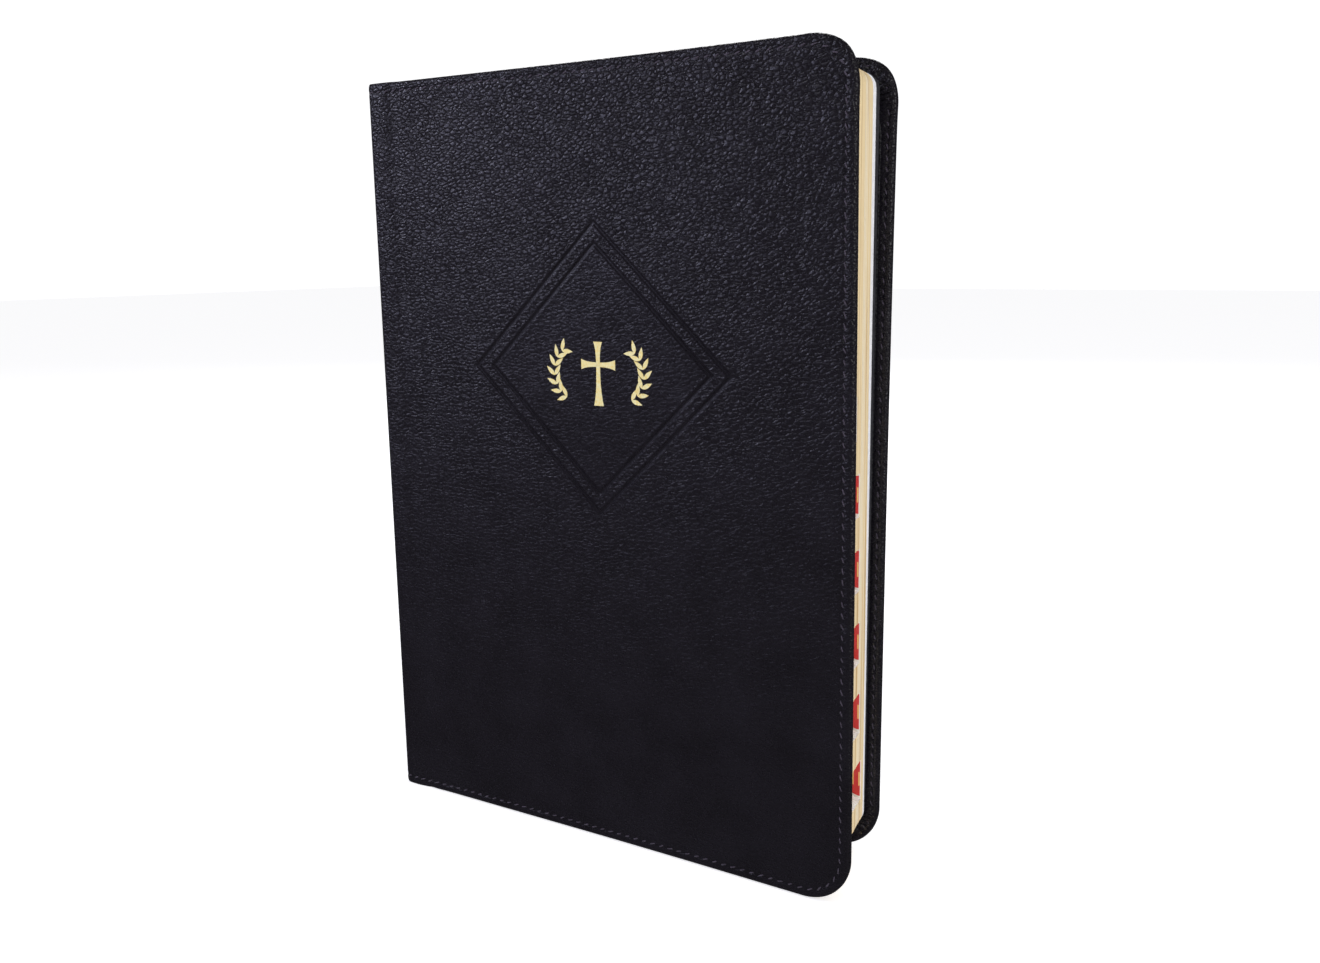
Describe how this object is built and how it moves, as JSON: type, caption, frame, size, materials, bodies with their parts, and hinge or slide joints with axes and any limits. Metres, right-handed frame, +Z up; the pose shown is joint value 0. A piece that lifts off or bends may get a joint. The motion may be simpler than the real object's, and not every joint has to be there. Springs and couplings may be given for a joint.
{
  "type": "bible",
  "caption": "Thumb-indexed bible in a limp black leather cover with sewn edges, rounded corners, a diamond on the front and cream page edges, whose covers and pages open.",
  "frame": {"origin": "middle of the footprint that the book stands on, at the tail edges of its covers", "axes": "+X from the spine towards the fore edge, +Y from the front cover towards the back cover, +Z up the page from tail to head"},
  "size_m": [0.1864, 0.0376, 0.26],
  "materials": {
    "leather": "black bonded leather, fine pebble grain, satin",
    "card": "grey flexible card",
    "black_lining": "black leather-grain lining paper",
    "thread": "dark grey-violet polyester thread",
    "gold_foil": "stamped gold foil",
    "black_paper": "dark grey end-leaf paper",
    "white_paper": "white end-leaf paper",
    "page_paper": "thin printing paper with cream edges",
    "label": "red index label, coated paper",
    "headband": "woven cotton headband",
    "gauze": "open cotton gauze, glued"
  },
  "bodies": {
    "spine": {"spine_leather": "leather", "spine_stitching_tail": "thread", "spine_stitching_head": "thread", "spine_card": "card", "spine_mull": "gauze", "page_folds": "page_paper", "tail_band": "headband", "head_band": "headband"},
    "front_cover": {"front_cover_leather": "leather", "front_cover_board": "card", "front_cover_lining": "black_lining", "front_cover_stitching": "thread", "gold_cross": "gold_foil"},
    "back_cover": {"back_cover_leather": "leather", "back_cover_board": "card", "back_cover_lining": "black_lining", "back_cover_stitching": "thread"},
    "front_black_leaf": {"front_black_leaf": "black_paper"},
    "front_white_leaf": {"front_white_leaf": "white_paper"},
    "section_01": {"section_01": "page_paper"},
    "section_02": {"section_02": "page_paper", "index_label_01": "label"},
    "section_03": {"section_03": "page_paper", "index_label_02": "label"},
    "section_04": {"section_04": "page_paper", "index_label_03": "label"},
    "section_05": {"section_05": "page_paper", "index_label_04": "label"},
    "section_06": {"section_06": "page_paper", "index_label_05": "label"},
    "section_07": {"section_07": "page_paper", "index_label_06": "label"},
    "section_08": {"section_08": "page_paper", "index_label_07": "label"},
    "section_09": {"section_09": "page_paper", "index_label_08": "label"},
    "section_10": {"section_10": "page_paper", "index_label_09": "label"},
    "back_white_leaf": {"back_white_leaf": "white_paper"},
    "back_black_leaf": {"back_black_leaf": "black_paper"}
  },
  "joints": [
    {"name": "front_cover_hinge", "type": "hinge", "parent": "spine", "child": "front_cover", "pos_m": [-0.08081, -0.01921, 0.13], "axis": [0, 0, -1], "range_deg": [0, 178]},
    {"name": "back_cover_hinge", "type": "hinge", "parent": "spine", "child": "back_cover", "pos_m": [-0.0845, 0.01359, 0.13], "axis": [0, 0, 1], "range_deg": [-1.85, 176.15]},
    {"name": "front_black_leaf_hinge", "type": "hinge", "parent": "spine", "child": "front_black_leaf", "pos_m": [-0.07767, -0.01511, 0.13], "axis": [0, 0, -1], "range_deg": [0, 110.36]},
    {"name": "front_white_leaf_hinge", "type": "hinge", "parent": "spine", "child": "front_white_leaf", "pos_m": [-0.07682, -0.01441, 0.13], "axis": [0, 0, -1], "range_deg": [0, 96.12]},
    {"name": "section_01_hinge", "type": "hinge", "parent": "spine", "child": "section_01", "pos_m": [-0.07608, -0.01321, 0.13], "axis": [0, 0, -1], "range_deg": [0, 62.3]},
    {"name": "section_02_hinge", "type": "hinge", "parent": "spine", "child": "section_02", "pos_m": [-0.07512, -0.01076, 0.13], "axis": [0, 0, -1], "range_deg": [0, 48.06]},
    {"name": "section_03_hinge", "type": "hinge", "parent": "spine", "child": "section_03", "pos_m": [-0.07428, -0.00746, 0.13], "axis": [0, 0, -1], "range_deg": [0, 35.6]},
    {"name": "section_04_hinge", "type": "hinge", "parent": "spine", "child": "section_04", "pos_m": [-0.07381, -0.00396, 0.13], "axis": [0, 0, -1], "range_deg": [0, 23.14]},
    {"name": "section_05_hinge", "type": "hinge", "parent": "spine", "child": "section_05", "pos_m": [-0.07367, -0.00046, 0.13], "axis": [0, 0, -1], "range_deg": [0, 12.46]},
    {"name": "section_06_hinge", "type": "hinge", "parent": "spine", "child": "section_06", "pos_m": [-0.07529, 0.00174, 0.13], "axis": [0, 0, 1], "range_deg": [-0.13, 12.33]},
    {"name": "section_07_hinge", "type": "hinge", "parent": "spine", "child": "section_07", "pos_m": [-0.07567, 0.00274, 0.13], "axis": [0, 0, 1], "range_deg": [-0.24, 22.9]},
    {"name": "section_08_hinge", "type": "hinge", "parent": "spine", "child": "section_08", "pos_m": [-0.07615, 0.00379, 0.13], "axis": [0, 0, 1], "range_deg": [-0.37, 35.23]},
    {"name": "section_09_hinge", "type": "hinge", "parent": "spine", "child": "section_09", "pos_m": [-0.07695, 0.00529, 0.13], "axis": [0, 0, 1], "range_deg": [-0.5, 47.56]},
    {"name": "section_10_hinge", "type": "hinge", "parent": "spine", "child": "section_10", "pos_m": [-0.07824, 0.00734, 0.13], "axis": [0, 0, 1], "range_deg": [-0.65, 61.65]},
    {"name": "back_white_leaf_hinge", "type": "hinge", "parent": "spine", "child": "back_white_leaf", "pos_m": [-0.07943, 0.00879, 0.13], "axis": [0, 0, 1], "range_deg": [-1, 95.12]},
    {"name": "back_black_leaf_hinge", "type": "hinge", "parent": "spine", "child": "back_black_leaf", "pos_m": [-0.08044, 0.00949, 0.13], "axis": [0, 0, 1], "range_deg": [-1.15, 109.21]}
  ],
  "couplings": [
    {"joint": "front_black_leaf_hinge", "follows": "front_cover_hinge", "ratio": 0.62},
    {"joint": "front_white_leaf_hinge", "follows": "front_cover_hinge", "ratio": 0.54},
    {"joint": "section_01_hinge", "follows": "front_cover_hinge", "ratio": 0.35},
    {"joint": "section_02_hinge", "follows": "front_cover_hinge", "ratio": 0.27},
    {"joint": "section_03_hinge", "follows": "front_cover_hinge", "ratio": 0.2},
    {"joint": "section_04_hinge", "follows": "front_cover_hinge", "ratio": 0.13},
    {"joint": "section_05_hinge", "follows": "front_cover_hinge", "ratio": 0.07},
    {"joint": "section_06_hinge", "follows": "back_cover_hinge", "ratio": 0.07},
    {"joint": "section_07_hinge", "follows": "back_cover_hinge", "ratio": 0.13},
    {"joint": "section_08_hinge", "follows": "back_cover_hinge", "ratio": 0.2},
    {"joint": "section_09_hinge", "follows": "back_cover_hinge", "ratio": 0.27},
    {"joint": "section_10_hinge", "follows": "back_cover_hinge", "ratio": 0.35},
    {"joint": "back_white_leaf_hinge", "follows": "back_cover_hinge", "ratio": 0.54},
    {"joint": "back_black_leaf_hinge", "follows": "back_cover_hinge", "ratio": 0.62}
  ]
}
